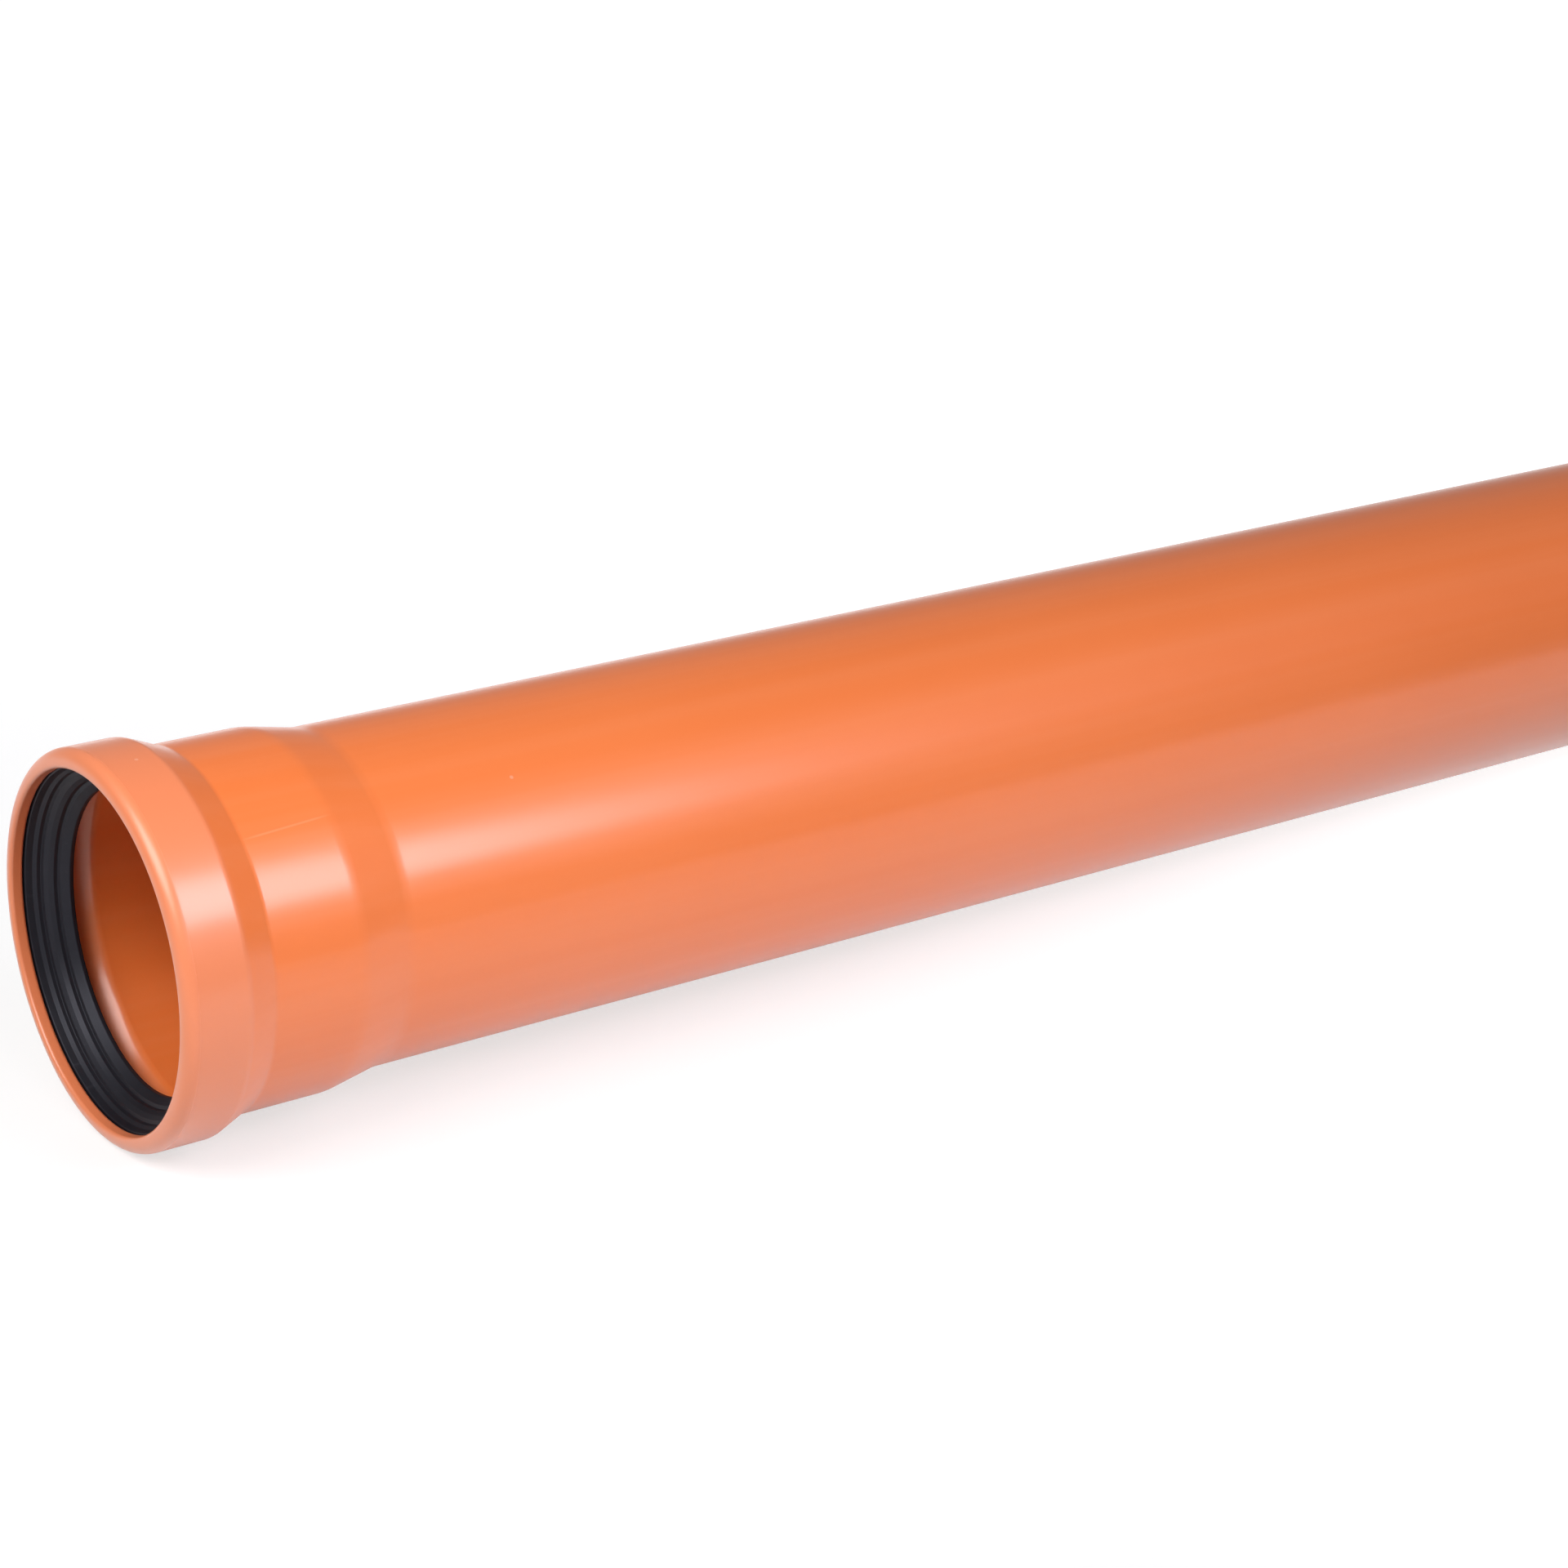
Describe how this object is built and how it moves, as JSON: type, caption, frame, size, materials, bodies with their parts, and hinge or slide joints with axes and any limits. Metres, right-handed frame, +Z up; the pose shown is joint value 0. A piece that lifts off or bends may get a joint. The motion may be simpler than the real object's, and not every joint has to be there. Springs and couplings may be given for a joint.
{
  "type": "pvc sewer pipe",
  "caption": "Round plastic sewer pipe with a widened, beaded socket for joining, a ribbed rubber ring seal in the socket, and a plain chamfered spigot end.",
  "frame": {"origin": "on the floor, under the middle of the pipe's length", "axes": "+X from the socket mouth to the spigot end, along the pipe as it lies; +Z up"},
  "size_m": [1.0628, 0.1264, 0.1265],
  "materials": {
    "pipe_plastic": "satin",
    "seal_rubber": "matte"
  },
  "bodies": {
    "root": {"pipe": "pipe_plastic", "seal_ring": "seal_rubber"}
  },
  "joints": []
}
